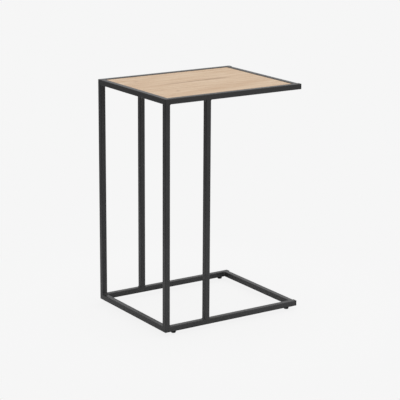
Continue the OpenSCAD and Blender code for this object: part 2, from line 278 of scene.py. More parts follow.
# Small knots: place along and across the panel, and width
OAK_KNOTS = ((-145 * MM, 90 * MM, 11 * MM), (-150 * MM, -53 * MM, 8 * MM), (-120 * MM, -83 * MM, 7 * MM))
# A knot's length by its width, and how far from its middle, in widths, it starts and ends its fading
KNOT_STRETCH, KNOT_CORE, KNOT_END = 1.6, 0.1, 0.6
# How dark the streak and the knots are
FIGURE_DARK = 0.6
# How far a full swing of the broad grain bends the streak, and the knots' share of that
FIGURE_WAVER, KNOT_WAVER = 40 * MM, 0.3


def oak_effect_foil(settings, name="oak_effect_foil", turn=0.0, figured=True):
    """Melamine paper printed with light oak, pressed on board with a fine matt emboss.

    The print has long soft figure, fine streaks along the grain, short dark pores and, where
    it is figured, a dark streak and a few small knots. The real pores are about 0.3 mm wide;
    they are drawn coarser, so that they show.
    """
    material, put, place = new_material(name)
    turned = put("ShaderNodeMapping", {"Vector": place, "Rotation": (0, 0, turn)})
    waves = put("ShaderNodeTexWave", {
        "Vector": put("ShaderNodeMapping", {"Vector": turned, "Scale": per_metre(*WAVE_SIZE)}),
        "Scale": 0.55, "Distortion": 7.0, "Detail": 3.0, "Detail Scale": 0.9, "Detail Roughness": 0.55},
        wave_type="BANDS", bands_direction="Y").outputs["Fac"]
    grain = {}
    for part, (length, width, detail, roughness) in OAK_GRAIN.items():
        scaled = put("ShaderNodeMapping", {"Vector": turned, "Scale": per_metre(length, width, width)})
        grain[part] = put("ShaderNodeTexNoise", {
            "Vector": scaled, "Scale": 1.0, "Detail": detail, "Roughness": roughness})

    tone = put("ShaderNodeMath", waves, WAVE_TONE, BASE_TONE, operation="MULTIPLY_ADD")
    for part, weight in OAK_TONE.items():
        centred = put("ShaderNodeMath", grain[part], 0.5, operation="SUBTRACT")
        tone = put("ShaderNodeMath", centred, weight, tone, operation="MULTIPLY_ADD")
    held = put("ShaderNodeClamp", tone)
    wood = put("ShaderNodeMix", {
        "Factor": held, "A": settings.oak_light, "B": settings.oak_dark}, data_type="RGBA")
    pores = put("ShaderNodeMapRange", {
        "Value": grain["pores"], "From Min": 0.6, "From Max": 0.72, "To Max": 0.4})
    dark = add_oak_figure(put, place, grain, pores) if figured else pores
    colour = put("ShaderNodeMix", {"Factor": dark, "A": wood, "B": settings.oak_pore}, data_type="RGBA")

    rough = put("ShaderNodeMapRange", {
        "Value": grain["streaks"], **NOISE_SPAN, "To Min": 0.55, "To Max": 0.65})
    emboss = put("ShaderNodeMath", pores, -1.0, grain["fine"], operation="MULTIPLY_ADD")
    return finish_material(
        material, {"Height": emboss, "Strength": 0.35, "Distance": 0.06 * MM},
        {"Base Color": colour, "Roughness": rough, "IOR": 1.5, "Specular IOR Level": 0.3})


def add_oak_figure(put, place, grain, mask):
    """Adds the print's long dark streak, broken into fibres, and its small knots to a darkening mask."""
    split = put("ShaderNodeSeparateXYZ", place)
    centred = put("ShaderNodeMath", grain["broad"], 0.5, operation="SUBTRACT")
    waver = put("ShaderNodeMath", centred, FIGURE_WAVER, operation="MULTIPLY")

    along = put("ShaderNodeMath", split.outputs["X"], OAK_STREAK["x"], operation="SUBTRACT")
    line = put("ShaderNodeMath", along, OAK_STREAK["slope"], OAK_STREAK["y"], operation="MULTIPLY_ADD")
    across = put("ShaderNodeMath", split.outputs["Y"], line, operation="SUBTRACT")
    wavered = put("ShaderNodeMath", across, waver, operation="ADD")
    aside = put("ShaderNodeMath", wavered, operation="ABSOLUTE")
    body = put("ShaderNodeMapRange", {
        "Value": aside, "From Min": STREAK_CORE * OAK_STREAK["width"], "From Max": OAK_STREAK["width"],
        "To Min": FIGURE_DARK, "To Max": 0.0}, interpolation_type="SMOOTHSTEP")
    from_middle = put("ShaderNodeMath", along, operation="ABSOLUTE")
    ends = put("ShaderNodeMapRange", {
        "Value": from_middle, "From Min": STREAK_BODY * OAK_STREAK["length"],
        "From Max": OAK_STREAK["length"], "To Min": 1.0, "To Max": 0.0}, interpolation_type="SMOOTHSTEP")
    whole = put("ShaderNodeMath", body, ends, operation="MULTIPLY")
    fibres = put("ShaderNodeMapRange", {
        "Value": grain["streaks"], "From Min": 0.4, "From Max": 0.6, "To Min": 0.3, "To Max": 1.4})
    streak = put("ShaderNodeMath", whole, fibres, operation="MULTIPLY")
    mask = put("ShaderNodeMath", mask, streak, operation="MAXIMUM")

    for x, y, size in OAK_KNOTS:
        from_knot = put(
            "ShaderNodeVectorMath", place, (1 / KNOT_STRETCH, 1, 0), (-x / KNOT_STRETCH, -y, 0),
            operation="MULTIPLY_ADD")
        distance = put("ShaderNodeVectorMath", from_knot, operation="LENGTH")
        uneven = put("ShaderNodeMath", waver, KNOT_WAVER, distance, operation="MULTIPLY_ADD")
        knot = put("ShaderNodeMapRange", {
            "Value": uneven, "From Min": KNOT_CORE * size, "From Max": KNOT_END * size,
            "To Min": FIGURE_DARK, "To Max": 0.0}, interpolation_type="SMOOTHSTEP")
        mask = put("ShaderNodeMath", mask, knot, operation="MAXIMUM")
    return mask


def particle_board():
    """Pressed wood chips, raw. Each chip has its own tone, and lies flat in the board."""
    material, put, place = new_material("particle_board")
    chips = put("ShaderNodeTexVoronoi", {
        "Vector": put("ShaderNodeMapping", {
            "Vector": place, "Scale": per_metre(4 * MM, 3 * MM, 0.9 * MM)}), "Scale": 1.0})
    tone = put("ShaderNodeSeparateColor", chips.outputs["Color"])
    colour = put("ShaderNodeMix", {
        "Factor": tone, "A": linear("#C2A277"), "B": linear("#8F6F48")}, data_type="RGBA")
    return finish_material(
        material, {"Height": chips.outputs["Distance"], "Strength": 0.6, "Distance": 0.2 * MM},
        {"Base Color": colour, "Roughness": 0.9})


def backing_paper():
    """Unprinted melamine paper on the board's underside. It is plain and matt, with a faint fibre."""
    material, put, place = new_material("backing_paper")
    fibre = put("ShaderNodeTexNoise", {
        "Vector": put("ShaderNodeMapping", {
            "Vector": place, "Scale": per_metre(9 * MM, 3 * MM, 3 * MM)}), "Scale": 1.0, "Detail": 4.0})
    colour = put("ShaderNodeMix", {
        "Factor": fibre, "A": linear("#CDBDA6"), "B": linear("#BDAB92")}, data_type="RGBA")
    return finish_material(
        material, {"Height": fibre, "Strength": 0.3, "Distance": 0.05 * MM},
        {"Base Color": colour, "Roughness": 0.65})


def moulded_polyethylene(settings):
    """Injection-moulded black polyethylene. Its skin has the fine matt grain of a spark-eroded tool.

    The grain's pits trap most of the shine, so that it looks a deeper black than the coat.
    """
    material, put, place = new_material("moulded_polyethylene")
    grain = put("ShaderNodeTexNoise", {
        "Vector": put("ShaderNodeMapping", {"Vector": place, "Scale": per_metre(0.5 * MM)}),
        "Scale": 1.0, "Detail": 2.0})
    flow = put("ShaderNodeTexNoise", {
        "Vector": put("ShaderNodeMapping", {
            "Vector": place, "Scale": per_metre(9 * MM, 9 * MM, 4 * MM)}), "Scale": 1.0, "Detail": 2.0})
    colour = put("ShaderNodeMix", {
        "Factor": flow, "A": settings.plastic, "B": tinted(settings.plastic, 1.5)}, data_type="RGBA")
    rough = put("ShaderNodeMapRange", {"Value": flow, "To Min": 0.42, "To Max": 0.6})
    return finish_material(
        material, {"Height": grain, "Strength": 0.4, "Distance": 0.05 * MM},
        {"Base Color": colour, "Roughness": rough, "IOR": 1.51, "Specular IOR Level": 0.2})


def zinc_plated_steel(settings):
    """Cold-formed steel with bright zinc. The plating is cool and a little cloudy."""
    material, put, place = new_material("zinc_plated_steel")
    cloud = put("ShaderNodeTexNoise", {
        "Vector": put("ShaderNodeMapping", {"Vector": place, "Scale": per_metre(2.5 * MM)}),
        "Scale": 1.0, "Detail": 3.0})
    colour = put("ShaderNodeMix", {
        "Factor": cloud, "A": settings.zinc, "B": tinted(settings.zinc, 0.72)}, data_type="RGBA")
    rough = put("ShaderNodeMapRange", {"Value": cloud, "To Min": 0.24, "To Max": 0.42})
    return finish_material(
        material, {"Height": cloud, "Strength": 0.2, "Distance": 0.03 * MM},
        {"Base Color": colour, "Roughness": rough, "Metallic": 1.0})


def dress(nodes, material):
    """Gives carried-over CAD nodes a material."""
    for name in nodes:
        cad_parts[name].material_slots[0].material = material


def begin_tree(name, **inputs):
    """A Geometry Nodes tree with these inputs, given by kind, what adds a node to it, and its inputs."""
    tree = bpy.data.node_groups.new(name, "GeometryNodeTree")
    for kind, labels in {"Geometry": ["Geometry"], **inputs}.items():
        for label in labels:
            tree.interface.new_socket(name=label, in_out="INPUT", socket_type="NodeSocket" + kind)
    tree.interface.new_socket(name="Geometry", in_out="OUTPUT", socket_type="NodeSocketGeometry")
    put = partial(add, tree)
    return tree, put, put("NodeGroupInput").outputs


def finish_tree(tree, given, shape):
    """Puts the shape on each given point with the point's turn, as real geometry with its material."""
    put = partial(add, tree)
    turn = put("GeometryNodeInputNamedAttribute", {"Name": "turn"}, data_type="FLOAT_VECTOR")
    placed = put("GeometryNodeInstanceOnPoints", {
        "Points": given["Geometry"], "Instance": shape,
        "Rotation": put("FunctionNodeEulerToRotation", turn)})
    real = put("GeometryNodeRealizeInstances", placed)
    done = put("GeometryNodeSetMaterial", {"Geometry": real, "Material": given["Material"]})
    put("NodeGroupOutput", done)
    return tree


# Points closer than this become one, where a grid's seams and poles close
JOIN_WITHIN = 0.002 * MM

# A bead's grid: its first and last columns are the root, and the others are the face
BEAD_COLUMNS, BEAD_ROWS = 12, 64
# Share of a bead, from its end to its middle, over which it grows to its full section
BEAD_RUN_OUT = 0.28
# How far the ripples bend forward at the bead's middle and how far they wander, in ripples, and over
# what length they wander
RIPPLE_BEND, RIPPLE_WANDER, WANDER_LENGTH = 0.8, 1.5, 3 * MM


def weld_tree():
    """A weld bead at each point, turned by the point's own angles.

    The bead runs along Z. Its section has a toe on each of two faces, a face that bulges
    between them, and its root at the origin. Crescent ripples cross the face, as the pool
    leaves them when it freezes, and both ends run out to nothing.
    """
    tree, put, given = begin_tree(
        "weld_bead", Vector=["Toe A", "Toe B", "Bulge", "Outward"],
        Float=["Length", "Ripple pitch", "Ripple height", "Seed"], Material=["Material"])
    # On the grid, the face runs from toe to toe over X -0.5 to 0.5, and the bead over Y -0.5 to 0.5
    step = 1 / (BEAD_COLUMNS - 3)
    grid = put("GeometryNodeMeshGrid", {
        "Vertices X": BEAD_COLUMNS, "Vertices Y": BEAD_ROWS, "Size X": 1 + 2 * step, "Size Y": 1.0})
    spot = put("ShaderNodeSeparateXYZ", put("GeometryNodeInputPosition"))
    across, along = spot.outputs["X"], spot.outputs["Y"]
    z = put("ShaderNodeMath", along, given["Length"], operation="MULTIPLY")
    squared = put("ShaderNodeMath", across, across, operation="MULTIPLY")
    hump = put("ShaderNodeMath", squared, -4.0, 1.0, operation="MULTIPLY_ADD")

    travelled = put("ShaderNodeMath", z, WANDER_LENGTH, operation="DIVIDE")
    wander = put("ShaderNodeTexNoise", {
        "Vector": put("ShaderNodeCombineXYZ", {"X": travelled, "Y": given["Seed"]}),
        "Scale": 1.0, "Detail": 1.0})
    counted = put("ShaderNodeMath", z, given["Ripple pitch"], operation="DIVIDE")
    bent = put("ShaderNodeMath", hump, RIPPLE_BEND, counted, operation="MULTIPLY_ADD")
    uneven = put("ShaderNodeMath", wander, RIPPLE_WANDER, bent, operation="MULTIPLY_ADD")
    angle = put("ShaderNodeMath", uneven, math.pi, operation="MULTIPLY")
    wave = put("ShaderNodeMath", angle, operation="SINE")
    scallop = put("ShaderNodeMath", wave, operation="ABSOLUTE")
    faded = put("ShaderNodeMath", scallop, hump, operation="MULTIPLY")
    ripple = put("ShaderNodeMath", faded, given["Ripple height"], operation="MULTIPLY")

    share = put("ShaderNodeMath", across, 0.5, operation="ADD")
    chord = put("ShaderNodeMix", {
        "Factor": share, "A": given["Toe A"], "B": given["Toe B"]}, data_type="VECTOR")
    bulge = put("ShaderNodeVectorMath", {0: given["Bulge"], "Scale": hump}, operation="SCALE")
    raised = put("ShaderNodeVectorMath", {0: given["Outward"], "Scale": ripple}, operation="SCALE")
    full = put("ShaderNodeVectorMath", chord, bulge, operation="ADD")
    face = put("ShaderNodeVectorMath", full, raised, operation="ADD")

    # The section shrinks toward both ends, and the root stays on the corner's line
    from_middle = put("ShaderNodeMath", along, operation="ABSOLUTE")
    growth = put("ShaderNodeMapRange", {
        "Value": from_middle, "From Min": 0.5, "From Max": 0.5 * (1 - BEAD_RUN_OUT)})
    rounded = put("ShaderNodeMath", growth, operation="SQRT")
    aside = put("ShaderNodeMath", across, operation="ABSOLUTE")
    on_face = put("ShaderNodeMath", aside, 0.5 + step / 2, operation="LESS_THAN")
    size = put("ShaderNodeMath", rounded, on_face, operation="MULTIPLY")
    section = put("ShaderNodeVectorMath", {0: face, "Scale": size}, operation="SCALE")
    moved = put("ShaderNodeVectorMath", section, put("ShaderNodeCombineXYZ", {"Z": z}), operation="ADD")
    bead = put("GeometryNodeSetPosition", {"Geometry": grid, "Position": moved})
    closed = put("GeometryNodeMergeByDistance", {"Geometry": bead, "Distance": JOIN_WITHIN})
    return finish_tree(tree, given, closed)


# A rod's grid: its columns go once round, and its first and last rows are the poles
ROD_COLUMNS, ROD_ROWS = 29, 140
# Shares of the pitch that the thread's flat crest and flat root take
THREAD_CREST, THREAD_ROOT = 0.12, 0.12


def threaded_rod_tree():
    """A threaded rod along Z from the origin, with a taper at its far end."""
    tree, put, given = begin_tree("threaded_rod", Float=["Radius", "Depth", "Pitch", "Length", "Tip"])
    # On the grid, X counts turns round the rod, and the rod runs over Y -0.5 to 0.5
    step = 1 / (ROD_ROWS - 3)
    grid = put("GeometryNodeMeshGrid", {
        "Vertices X": ROD_COLUMNS, "Vertices Y": ROD_ROWS, "Size X": 1.0, "Size Y": 1 + 2 * step})
    spot = put("ShaderNodeSeparateXYZ", put("GeometryNodeInputPosition"))
    turns, along = spot.outputs["X"], spot.outputs["Y"]
    share = put("ShaderNodeMapRange", {"Value": along, "From Min": -0.5, "From Max": 0.5})
    z = put("ShaderNodeMath", share, given["Length"], operation="MULTIPLY")

    counted = put("ShaderNodeMath", z, given["Pitch"], operation="DIVIDE")
    helix = put("ShaderNodeMath", counted, turns, operation="ADD")
    tooth = put("ShaderNodeMath", helix, 0.5, operation="PINGPONG")
    cut = put("ShaderNodeMapRange", {
        "Value": tooth, "From Min": THREAD_CREST / 2, "From Max": (1 - THREAD_ROOT) / 2,
        "To Max": given["Depth"]})
    radius = put("ShaderNodeMath", given["Radius"], cut, operation="SUBTRACT")

    left = put("ShaderNodeMath", given["Length"], z, operation="SUBTRACT")
    taper = put("ShaderNodeMapRange", {"Value": left, "From Max": given["Tip"]})
    from_middle = put("ShaderNodeMath", along, operation="ABSOLUTE")
    on_side = put("ShaderNodeMath", from_middle, 0.5 + step / 2, operation="LESS_THAN")
    tapered = put("ShaderNodeMath", radius, taper, operation="MULTIPLY")
    spread = put("ShaderNodeMath", tapered, on_side, operation="MULTIPLY")
    moved = put("ShaderNodeVectorRotate", {
        "Vector": put("ShaderNodeCombineXYZ", {"X": spread, "Z": z}),
        "Angle": put("ShaderNodeMath", turns, math.tau, operation="MULTIPLY")},
        rotation_type="Z_AXIS")
    rod = put("GeometryNodeSetPosition", {"Geometry": grid, "Position": moved})
    closed = put("GeometryNodeMergeByDistance", {"Geometry": rod, "Distance": JOIN_WITHIN})
    put("NodeGroupOutput", closed)
    return tree


# Shape of a pan head's dome: 1 is round, and less is flatter on top
DOME_POWER = 0.8
# Width of the cross recess at its bottom, as a share of its width at the head
RECESS_TAPER = 0.55


def screw_tree(rod):
    """A pan head wood screw at each point: domed head below, with a cross recess, and thread above."""
    tree, put, given = begin_tree("cross_recess_screw", Float=[
        "Head radius", "Head height", "Recess width", "Recess length", "Recess depth", "Shank radius",
        "Thread depth", "Thread pitch", "Shank length", "Tip"], Material=["Material"])
    spot = put("GeometryNodeInputPosition")
    level = put("ShaderNodeSeparateXYZ", spot).outputs["Z"]

    # The dome is a ball, pressed flat at its upper half
    ball = put("GeometryNodeMeshUVSphere", {"Segments": 48, "Rings": 26, "Radius": 1.0})
    below = put("ShaderNodeMapRange", {"Value": level, "From Max": -1.0})
    domed = put("ShaderNodeMath", below, DOME_POWER, operation="POWER")
    underside = put("ShaderNodeMath", given["Head height"], -1.0, operation="MULTIPLY")
    drop = put("ShaderNodeMath", domed, underside, operation="MULTIPLY")
    widened = put("ShaderNodeCombineXYZ", {"X": given["Head radius"], "Y": given["Head radius"]})
    dropped = put("ShaderNodeCombineXYZ", {"Z": drop})
    pressed = put("ShaderNodeVectorMath", spot, widened, dropped, operation="MULTIPLY_ADD")
    dome = put("GeometryNodeSetPosition", {"Geometry": ball, "Position": pressed})

    # The cross is two blocks, narrower toward the recess's bottom
    depth = put("ShaderNodeMath", given["Recess depth"], 2.0, operation="MULTIPLY")
    narrow = put("ShaderNodeMapRange", {
        "Value": level, "From Max": given["Recess depth"], "To Min": 1.0, "To Max": RECESS_TAPER})
    narrowed = put("ShaderNodeCombineXYZ", {"X": narrow, "Y": narrow, "Z": 1.0})
    lowered = put("ShaderNodeCombineXYZ", {"Z": underside})
    sunk = put("ShaderNodeVectorMath", spot, narrowed, lowered, operation="MULTIPLY_ADD")
    slots = []
    for length, width in (("Recess length", "Recess width"), ("Recess width", "Recess length")):
        block = put("GeometryNodeMeshCube", {"Size": put("ShaderNodeCombineXYZ", {
            "X": given[length], "Y": given[width], "Z": depth})})
        slots.append(put("GeometryNodeSetPosition", {"Geometry": block, "Position": sunk}))
    head = put("GeometryNodeMeshBoolean", dome, slots, operation="DIFFERENCE", solver="EXACT")
    shank = put("GeometryNodeGroup", {
        "Radius": given["Shank radius"], "Depth": given["Thread depth"], "Pitch": given["Thread pitch"],
        "Length": given["Shank length"], "Tip": given["Tip"]}, node_tree=rod)
    return finish_tree(tree, given, put("GeometryNodeJoinGeometry", [head, shank]))


def stud_tree(rod):
    """A levelling foot's stud at each point: the hexagon moulded into the pad, and the threaded rod."""
    tree, put, given = begin_tree("levelling_stud", Float=[
        "Hexagon radius", "Hexagon height", "Radius", "Depth", "Pitch", "Length", "Tip"],
        Material=["Material"])
    hexagon = put("GeometryNodeMeshCylinder", {
        "Vertices": 6, "Radius": given["Hexagon radius"], "Depth": given["Hexagon height"]})
    half = put("ShaderNodeMath", given["Hexagon height"], 0.5, operation="MULTIPLY")
    lifted = put("GeometryNodeTransform", {
        "Geometry": hexagon, "Translation": put("ShaderNodeCombineXYZ", {"Z": half})})
    shank = put("GeometryNodeGroup", {
        name: given[name] for name in ("Radius", "Depth", "Pitch", "Length", "Tip")}, node_tree=rod)
    return finish_tree(tree, given, put("GeometryNodeJoinGeometry", [lifted, shank]))


def grow(name, places, tree, sizes, smooth_angle):
    """Runs a tree on points, given as pairs of place and turn, and keeps the result as a plain mesh."""
    points = bpy.data.meshes.new(name + "_points")
    points.from_pydata([place for place, turn in places], [], [])
    turns = points.attributes.new("turn", "FLOAT_VECTOR", "POINT")
    turns.data.foreach_set("vector", [angle for place, turn in places for angle in turn.to_euler()])
    piece = new_object(name, points)
    modifier = piece.modifiers.new("shape", "NODES")
    modifier.node_group = tree
    for item in tree.interface.items_tree:
        if item.in_out == "INPUT" and item.name in sizes:
            modifier[item.identifier] = sizes[item.name]
    mesh = bpy.data.meshes.new_from_object(piece.evaluated_get(bpy.context.evaluated_depsgraph_get()))
    if not mesh.polygons:
        raise RuntimeError(f"{name} came out empty")
    piece.modifiers.remove(modifier)
    piece.data = mesh
    mesh.name = name
    attribute = mesh.attributes.get("turn")
    if attribute:
        mesh.attributes.remove(attribute)
    mesh.shade_smooth()
    mesh.set_sharp_from_angle(angle=smooth_angle)
    return piece


def turn_onto(first, second):
    """The turn that takes X onto the first direction and Y onto the second."""
    return Matrix((first, second, first.cross(second))).transposed()


class SOFATABLE_OT_frame(bpy.types.Operator):
    """Coats the frame's tubes and tabs, and plugs the open ends of the rails"""

    bl_idname = "sofa_table.frame"
    bl_label = "Frame, tabs and plugs"

    def execute(self, context):
        steel = shared_material(powder_coated_steel, context.scene.table_steel)
        plastic = shared_material(moulded_polyethylene, context.scene.table_feet)
        dress(TUBES + TABS, steel)
        dress(PLUGS, plastic)
        return {"FINISHED"}


def side_weld_places(side):
    """Corners of one side frame that carry a bead, and the turn of each bead."""
    lower_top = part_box(f"{side}_lower_rail")[1].z
    upper_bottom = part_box(f"{side}_upper_rail")[0].z
    inner_low, inner_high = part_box(f"{side}_inner_post")
    post_low, post_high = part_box(f"{side}_corner_post")
    y = (post_low.y + post_high.y) / 2
    places = []
    for x, way in ((post_high.x, X), (inner_low.x, -X), (inner_high.x, X)):
        places.append((Vector((x, y, lower_top)), turn_onto(way, Z)))
        places.append((Vector((x, y, upper_bottom)), turn_onto(way, -Z)))
    return places


def cross_weld_places(level):
    """Corners where the cross rails of the top or the base meet the side frames, with their turns."""
    closed_low, closed_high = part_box(f"closed_end_{level}_rail")
    open_low, open_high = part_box(f"open_end_{level}_rail")
    middle = (closed_low + closed_high) / 2
    places = []
    for side, inward in (("front", Y), ("rear", -Y)):
        low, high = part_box(f"{side}_corner_post")
        face = high.y if side == "front" else low.y
        z, way = (closed_low.z, -Z) if level == "top" else (closed_high.z, Z)
        places.append((Vector((middle.x, face, z)), turn_onto(inward, way)))
        if level == "base":
            places.append((Vector((closed_high.x, face, middle.z)), turn_onto(X, inward)))
            places.append((Vector((open_low.x, face, middle.z)), turn_onto(-X, inward)))
    return places


def tab_roots():
    """For each tab, where the middle of its underside meets its rail's inner face, and the way inward."""
    faces = {"front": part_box("front_upper_rail")[1], "rear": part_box("rear_upper_rail")[0],
             "closed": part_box("closed_end_top_rail")[1], "open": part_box("open_end_top_rail")[0]}
    ways = {"front": Y, "rear": -Y, "closed": X, "open": -X}
    roots = []
    for name in TABS:
        rail = name.split("_")[1]
        low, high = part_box(name)
        root = (low + high) / 2
        axis = "x" if rail in ("closed", "open") else "y"
        setattr(root, axis, getattr(faces[rail], axis))
        root.z = low.z
        roots.append((root, ways[rail]))
    return roots


# A fillet's throat as a share of its leg, and its length as a share of the node's
FILLET_THROAT, FILLET_LENGTH = 0.6, 1.12
# How far under the rail a tab's seam runs, and its length as a share of the tab's width
SEAM_SETBACK, SEAM_LENGTH = 2 * MM, 0.8


class SOFATABLE_OT_welds(bpy.types.Operator):
    """Lays rippled weld beads in the frame's inner corners and under the tabs"""

    bl_idname = "sofa_table.welds"
    bl_label = "Weld beads"

    def execute(self, context):
        settings = context.scene.table_steel
        steel = shared_material(powder_coated_steel, settings)
        tree = weld_tree()
        low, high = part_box("top_cross_welds")
        leg = high.z - low.z
        diagonal = (X + Y).normalized()
        fillet = {
            "Toe A": leg * X, "Toe B": leg * Y, "Outward": diagonal,
            "Bulge": (FILLET_THROAT * leg - leg / math.sqrt(2)) * diagonal,
            "Length": FILLET_LENGTH * (high.x - low.x),
            "Ripple pitch": settings.ripple_pitch, "Ripple height": settings.ripple_height, "Material": steel}
        groups = {"front_side_welds": side_weld_places("front"), "rear_side_welds": side_weld_places("rear"),
                  "top_cross_welds": cross_weld_places("top"), "base_cross_welds": cross_weld_places("base")}
        for seed, (node, places) in enumerate(groups.items()):
            piece = grow("rippled_" + node, places, tree, {**fillet, "Seed": float(seed)}, WELD_SHARP)
            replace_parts(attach(piece, FRAME_BODY), node)

        tab_low, tab_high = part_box("tab_front_closed")
        seam = {
            **fillet, "Toe A": settings.seam_width / 2 * X, "Toe B": -settings.seam_width / 2 * X,
            "Bulge": settings.seam_height * Y, "Outward": Y, "Length": SEAM_LENGTH * (tab_high.x - tab_low.x),
            "Ripple height": settings.ripple_height / 2, "Seed": float(len(groups))}
        places = [(root - SEAM_SETBACK * inward, turn_onto(inward, -Z)) for root, inward in tab_roots()]
        piece = grow("tab_weld_seams", places, tree, seam, WELD_SHARP)
        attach(piece, FRAME_BODY)
        return {"FINISHED"}


def bevelled_bar(name, low, high, rounding):
    """A bar between two corners with its upper edges rounded."""
    mesh = bpy.data.meshes.new(name)
    middle = (low + high) / 2
    work = bmesh.new()
    bmesh.ops.create_cube(work, size=1.0)
    bmesh.ops.transform(
        work, matrix=Matrix.Translation(middle) @ Matrix.Diagonal((*(high - low), 1)), verts=work.verts)
    top = [edge for edge in work.edges if all(corner.co.z > middle.z for corner in edge.verts)]
    bmesh.ops.bevel(work, geom=top, offset=rounding, segments=4, profile=0.5, affect="EDGES")
    bmesh.ops.recalc_face_normals(work, faces=work.faces)
    work.to_mesh(mesh)
    work.free()
    mesh.shade_smooth()
    mesh.set_sharp_from_angle(angle=BAR_SHARP)
    return new_object(name, mesh)


class SOFATABLE_OT_panel(bpy.types.Operator):
    """Faces the panel with its oak-effect foil and lays its rounded edge banding"""

    bl_idname = "sofa_table.panel"
    bl_label = "Panel and edge banding"

    def execute(self, context):
        settings = context.scene.table_panel
        dress(["panel_top_sheet"], shared_material(oak_effect_foil, settings))
        dress(["panel_core"], shared_material(particle_board))
        dress(["panel_under_sheet"], shared_material(backing_paper))
        along = shared_material(oak_effect_foil, settings, name="oak_effect_banding", figured=False)
        across = shared_material(
            oak_effect_foil, settings, name="oak_effect_end_banding", turn=math.pi / 2, figured=False)
        for side, material in (("front", along), ("rear", along), ("closed", across), ("open", across)):
            node = f"panel_edge_{side}"
            piece = bevelled_bar(f"banding_{side}", *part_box(node), settings.edge_bevel)
            piece.data.materials.append(material)
            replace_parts(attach(piece, FRAME_BODY), node)
        return {"FINISHED"}


# Sizes of the screw, as the part's source has them
SCREW_FROM_RAIL = 12 * MM
SCREW_HEAD_RADIUS = 3.5 * MM
SCREW_SHANK_RADIUS = 1.75 * MM
SCREW_TIP = 2 * MM
# Each screw stops at another turn, in radians from the one before
SCREW_TURN = 0.7


class SOFATABLE_OT_screws(bpy.types.Operator):
    """Drives a cross recess screw up through each tab into the panel"""

    bl_idname = "sofa_table.screws"
    bl_label = "Panel screws"

    def execute(self, context):
        settings = context.scene.table_panel
        zinc = shared_material(zinc_plated_steel, context.scene.table_feet)
        low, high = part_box("panel_screws")
        places = [(root + SCREW_FROM_RAIL * inward, Matrix.Rotation(SCREW_TURN * i, 3, "Z"))
                  for i, (root, inward) in enumerate(tab_roots())]
        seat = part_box(TABS[0])[0].z
        piece = grow("cross_recess_screws", places, screw_tree(threaded_rod_tree()), {
            "Head radius": SCREW_HEAD_RADIUS, "Head height": seat - low.z,
            "Recess width": settings.recess_width, "Recess length": settings.recess_length,
            "Recess depth": settings.recess_depth,
            "Shank radius": SCREW_SHANK_RADIUS, "Thread depth": settings.screw_depth,
            "Thread pitch": settings.screw_pitch, "Shank length": high.z - seat, "Tip": SCREW_TIP,
            "Material": zinc}, SCREW_SHARP)
        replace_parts(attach(piece, FRAME_BODY), "panel_screws")
        return {"FINISHED"}


# Sizes of the stud, as the part's source has them
STUD_RADIUS = 2.45 * MM
STUD_HEXAGON_HEIGHT = 1.6 * MM
STUD_TIP = 0.5 * MM


class SOFATABLE_OT_feet(bpy.types.Operator):
    """Fits the levelling feet: moulded pads, threaded studs and rivet nuts"""

    bl_idname = "sofa_table.feet"
    bl_label = "Levelling feet"

    def execute(self, context):
        settings = context.scene.table_feet
        zinc = shared_material(zinc_plated_steel, settings)
        plastic = shared_material(moulded_polyethylene, settings)
        dress([f"pad_{corner}" for corner in CORNERS], plastic)
        dress([f"nut_{corner}" for corner in CORNERS], zinc)
        tree = stud_tree(threaded_rod_tree())
        for corner in CORNERS:
            node = f"stud_{corner}"
            low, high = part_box(node)
            place = Vector(((low.x + high.x) / 2, (low.y + high.y) / 2, low.z))
            piece = grow(f"threaded_{node}", [(place, Matrix.Identity(3))], tree, {
                "Hexagon radius": (high.x - low.x) / 2, "Hexagon height": STUD_HEXAGON_HEIGHT,
                "Radius": STUD_RADIUS, "Depth": settings.thread_depth, "Pitch": settings.thread_pitch,
                "Length": high.z - low.z, "Tip": STUD_TIP, "Material": zinc}, BAR_SHARP)
            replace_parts(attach(piece, f"foot_{corner}"), node)
        return {"FINISHED"}


def camera_axes(settings):
    """The camera's right, up and back directions, from its yaw, pitch and roll."""
    yaw, pitch, roll = settings.yaw, settings.pitch, settings.roll
    back = Vector((-math.sin(yaw) * math.cos(pitch), -math.cos(yaw) * math.cos(pitch), math.sin(pitch)))
    level = Vector((math.cos(yaw), -math.sin(yaw), 0))
    upright = back.cross(level)
    right = math.cos(roll) * level + math.sin(roll) * upright
    return right, math.cos(roll) * upright - math.sin(roll) * level, back


def add_camera(settings):
    """The camera, at its distance from its target."""
    right, up, back = camera_axes(settings)
    data = bpy.data.cameras.new("studio_camera")
    data.lens = settings.lens
    data.sensor_width = SENSOR_WIDTH
    data.clip_start, data.clip_end = CLIP_START, CLIP_END
    camera = new_object("studio_camera", data)
    place = Vector(settings.target) + back * settings.distance
    camera.matrix_world = Matrix.Translation(place) @ Matrix((right, up, back)).transposed().to_4x4()
    bpy.context.scene.camera = camera


# Distances from the table's middle between which its shadow on the floor fades out
SHADOW_FULL, SHADOW_GONE = 0.3, 0.75
# How strongly the floor's even tone is lifted where its shadow shows, so that the two add up to the backdrop
FLOOR_LIFT = 1.4
FLOOR_PAINT = linear("#E5E5E5")


